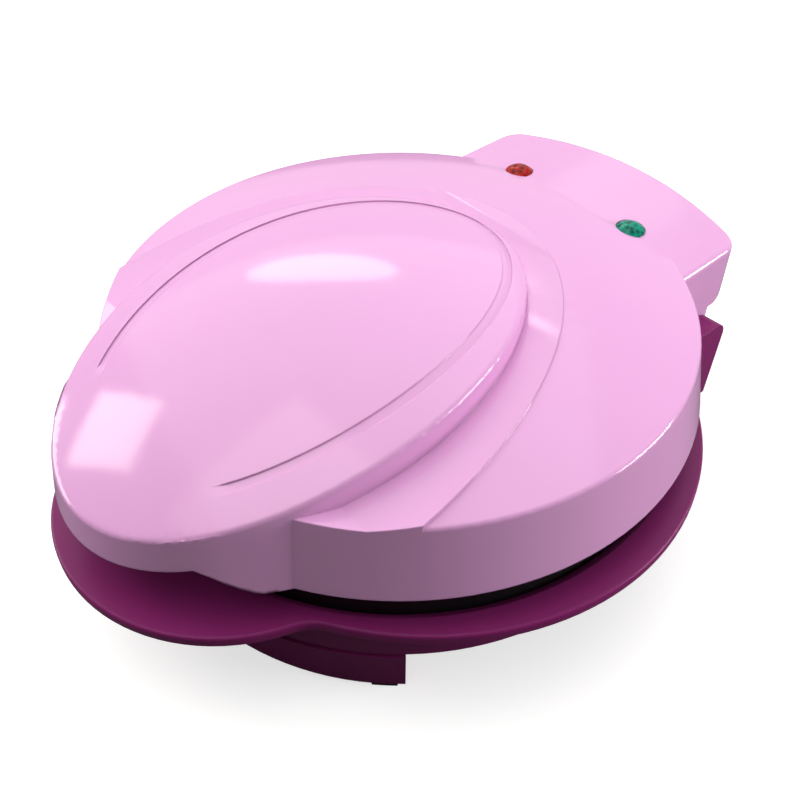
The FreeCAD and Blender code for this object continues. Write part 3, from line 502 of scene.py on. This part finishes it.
def bandHeight(y):
    frontY, frontRise = band["front"]
    if y < frontY:
        return leaf["rimZ"] + frontRise + (frontY - y) * band["apronSlope"]
    return leaf["rimZ"] + bandCentre.y + math.sqrt(bandRadius ** 2 - (y - bandCentre.x) ** 2)


def shapeBand(piece):
    moved = 0
    rearY = band["rear"][0]
    for vertex in piece.data.vertices:
        x, y, z = vertex.co
        if y < band["dipStartY"] or y > rearY or abs(z - bandHeight(y)) > band["play"]:
            continue
        if onLeafWall(x, y, z):
            share = min(1.0, (y - band["dipStartY"]) / (band["dipFullY"] - band["dipStartY"]))
            vertex.co.z = z - band["dip"] * share
            moved += 1
    print("band points moved:", moved)


# beside the finger gap the lip of the leaf runs down to the rim in a slant
cheek = {
    "startX": 0.0362, "tipX": 0.0458, "startZ": 0.0646,  # the slant, down to the rim at its tip
    "endX": 0.0476, "frontY": -0.1005, "rearY": -0.0865,  # where the lip's points lie
    "lowZ": 0.0640, "highZ": 0.0695,
}


def shapeCheek(piece):
    moved = 0
    for vertex in piece.data.vertices:
        x, y, z = vertex.co
        aside = abs(x)
        if not (cheek["startX"] < aside < cheek["endX"] and cheek["frontY"] < y < cheek["rearY"]):
            continue
        if cheek["lowZ"] < z < cheek["highZ"] and onLeafWall(x, y, z):
            left = max(0.0, (cheek["tipX"] - aside) / (cheek["tipX"] - cheek["startX"]))
            lowered = leaf["rimZ"] + left * (cheek["startZ"] - leaf["rimZ"])
            spread = leafTaper(z - lowered)
            halfWidth, halfLength = leafHalves(z)
            vertex.co.x = x * (1.0 + spread / halfWidth)
            vertex.co.y = leaf["middleY"] + (y - leaf["middleY"]) * (1.0 + spread / halfLength)
            vertex.co.z = lowered
            moved += 1
    print("cheek points moved:", moved)


for nodeName, (pieceName, angle) in skins.items():
    skin = smoothSkin(nodeName, pieceName, angle)
    if nodeName == "lid_shell":
        shapeGroove(skin)
        shapeBand(skin)
        shapeCheek(skin)
    weighNormals(skin)
print("smooth skins made")

# the camera sees a pale floor; reflections and bounced light find a dim one, so the walls keep their colour
floorLook = {"size": 6.0, "pale": (0.62, 0.62, 0.62, 1.0), "glow": 0.62, "dim": (0.14, 0.14, 0.14, 1.0)}


def setFloor():
    deselectAll()
    bpy.ops.mesh.primitive_plane_add(size=floorLook["size"], location=(0.0, 0.0, 0.0))
    floor = bpy.context.active_object
    floor.name = "paleFloor"
    material, tree, shader = newMaterial("paleFloor")
    tree.nodes.remove(shader)
    pale = addNode(tree, "ShaderNodeBsdfDiffuse", {"Color": floorLook["pale"]})
    glow = addNode(tree, "ShaderNodeEmission", {"Strength": floorLook["glow"]})
    seen = addNode(tree, "ShaderNodeAddShader", {0: pale.outputs[0], 1: glow.outputs[0]})
    dim = addNode(tree, "ShaderNodeBsdfDiffuse", {"Color": floorLook["dim"]})
    path = addNode(tree, "ShaderNodeLightPath", {})
    mixed = addNode(tree, "ShaderNodeMixShader", {
        0: path.outputs["Is Camera Ray"], 1: dim.outputs[0], 2: seen.outputs[0]})
    feed(tree, tree.nodes["Material Output"], {"Surface": mixed.outputs[0]})
    wear(floor, material)


# soft lights around the target; the two left boxes give the window-like patches on the crown
lightTarget = (-0.01, -0.03, 0.09)
lights = [
    {"name": "leftFrontBox", "way": (-0.719, -0.391, 0.550), "far": 0.95, "size": (0.24, 0.25), "roll": -11.0,
     "power": 1.2, "shape": "RECTANGLE", "tint": (1.0, 0.95, 0.88)},
    {"name": "leftRearBox", "way": (-0.693, 0.433, 0.577), "far": 0.95, "size": (0.435, 0.15), "roll": -15.5,
     "power": 0.7, "shape": "ELLIPSE", "tint": (1.0, 0.96, 0.90)},
    {"name": "overhead", "way": (-0.42, 0.24, 0.875), "far": 1.54, "size": (2.2, 2.2), "roll": 0.0,
     "power": 11.6, "shape": "RECTANGLE", "tint": (1.0, 0.99, 0.98)},
    {"name": "topFront", "way": (0.0, -0.30, 0.954), "far": 1.2, "size": (1.1, 0.8), "roll": 0.0,
     "power": 3.6, "shape": "RECTANGLE", "tint": (1.0, 0.98, 0.95)},
    {"name": "frontFill", "way": (-0.80, -0.55, 0.20), "far": 1.0, "size": (0.5, 0.3), "roll": 0.0,
     "power": 2.8, "shape": "RECTANGLE", "tint": (1.0, 0.99, 0.98)},
    {"name": "rightFill", "way": (0.74, 0.66, 0.12), "far": 0.9, "size": (0.4, 0.2), "roll": 0.0,
     "power": 4.6, "shape": "RECTANGLE", "tint": (1.0, 0.99, 0.98)},
]


def setLights():
    for light in lights:
        deselectAll()
        place = [t + light["far"] * w for t, w in zip(lightTarget, light["way"])]
        bpy.ops.object.light_add(type="AREA", location=place)
        lamp = bpy.context.active_object
        lamp.name = light["name"]
        lamp.data.shape = light["shape"]
        lamp.data.size, lamp.data.size_y = light["size"]
        lamp.data.energy = light["power"]
        lamp.data.color = light["tint"]
        aim = Vector(lightTarget) - Vector(place)
        roll = Quaternion((0.0, 0.0, 1.0), math.radians(light["roll"]))
        lamp.rotation_euler = (aim.to_track_quat("-Z", "Y") @ roll).to_euler()


# a studio that is bright behind and above, dim on the camera's side; the camera itself sees plain white
surround = {
    "brightWay": (-0.46, 0.57, 0.68), "dimUpTo": -0.35, "brightFrom": 0.9, "dim": 0.03, "bright": 0.75,
    "seen": 1.0, "tint": (1.0, 0.99, 0.98, 1.0),
}


def setSurround():
    world = bpy.data.worlds.new("studio")
    scene.world = world
    world.use_nodes = True
    tree = world.node_tree
    way = addNode(tree, "ShaderNodeTexCoord", {}).outputs["Generated"]
    facing = addNode(tree, "ShaderNodeVectorMath", {
        0: way, 1: surround["brightWay"]}, operation="DOT_PRODUCT")
    ramp = addNode(tree, "ShaderNodeMapRange", {
        "Value": facing.outputs["Value"], "From Min": surround["dimUpTo"], "From Max": surround["brightFrom"],
        "To Min": surround["dim"], "To Max": surround["bright"]}, interpolation_type="SMOOTHSTEP")
    path = addNode(tree, "ShaderNodeLightPath", {})
    shown = addNode(tree, "ShaderNodeMix", {
        "Factor": path.outputs["Is Camera Ray"], "A": ramp.outputs[0], "B": surround["seen"]})
    feed(tree, tree.nodes["Background"], {"Strength": shown.outputs[0], "Color": surround["tint"]})
    scene.view_settings.view_transform = "Standard"
    scene.view_settings.look = "None"


setFloor()
setLights()
setSurround()
print("stage and lights set")
